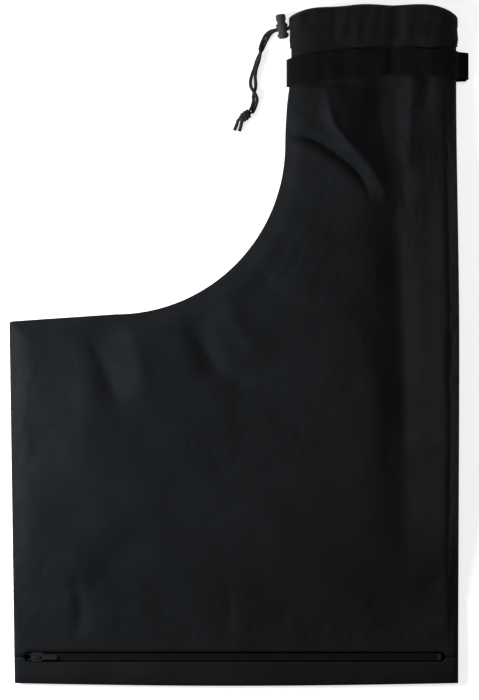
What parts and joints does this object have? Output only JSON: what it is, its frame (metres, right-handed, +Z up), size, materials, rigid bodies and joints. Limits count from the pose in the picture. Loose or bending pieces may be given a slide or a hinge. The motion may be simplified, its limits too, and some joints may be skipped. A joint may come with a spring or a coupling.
{
  "type": "blower vacuum collection bag",
  "caption": "Flat boot-shaped fabric bag: wide body, curved throat, neck with drawcord mouth, cord lock and webbing strap, and a zip along the hem for emptying",
  "frame": {"origin": "Centre of the lying bag's footprint, on the table: the middle of its width and length, at the underside of the back. The cord's free ends, their knot and the cord lock are left out of this.", "axes": "+X across the bag to the right with the zip side up, +Y along the bag from the hem to the mouth, +Z up from the table"},
  "size_m": [0.4186, 0.6201, 0.0216],
  "materials": {
    "bag_fabric": "tightly woven black polyester with a slight sheen",
    "webbing": "matt black woven webbing",
    "cord": "matt dark grey braided cord",
    "lock_plastic": "moulded dark grey plastic",
    "spring_steel": "bare spring steel wire",
    "zip_tape": "matt black woven tape",
    "zip_teeth": "moulded black plastic",
    "zip_metal": "black painted zinc with worn edges"
  },
  "bodies": {
    "bag": {"front_panel": "bag_fabric", "back_panel": "bag_fabric", "bottom_strip": "bag_fabric", "drawcord_casing": "bag_fabric", "drawcord": "cord", "cord_strand_upper": "cord", "cord_strand_lower": "cord", "cord_knot": "cord", "cord_tail_left": "cord", "cord_tail_right": "cord", "cord_lock_body": "lock_plastic", "cord_lock_spring": "spring_steel", "neck_strap": "webbing", "strap_lap": "webbing", "zip_tape_upper": "zip_tape", "zip_tape_lower": "zip_tape", "zip_teeth_upper": "zip_teeth", "zip_teeth_lower": "zip_teeth", "zip_top_stop_upper": "zip_metal", "zip_top_stop_lower": "zip_metal", "zip_bottom_stop": "zip_metal"},
    "slider": {"zip_slider": "zip_metal"},
    "pull": {"zip_pull": "zip_metal"},
    "plunger": {"cord_lock_plunger": "lock_plastic"}
  },
  "joints": [
    {"name": "zip_slide", "type": "slide", "parent": "bag", "child": "slider", "axis": [1, 0, 0], "range_m": [0, 0.357], "deforming": ["zip_teeth_upper", "zip_teeth_lower"]},
    {"name": "zip_pull_hinge", "type": "hinge", "parent": "slider", "child": "pull", "pos_m": [-0.18365, -0.2833, 0.0093], "axis": [0, -1, 0], "range_deg": [0, 175]},
    {"name": "cord_lock_push", "type": "slide", "parent": "bag", "child": "plunger", "axis": [0.1392, -0.9903, 0], "range_m": [0, 0.0025], "stiffness_N_per_m": 1200, "springref_m": -0.003, "deforming": ["cord_lock_spring"]}
  ]
}
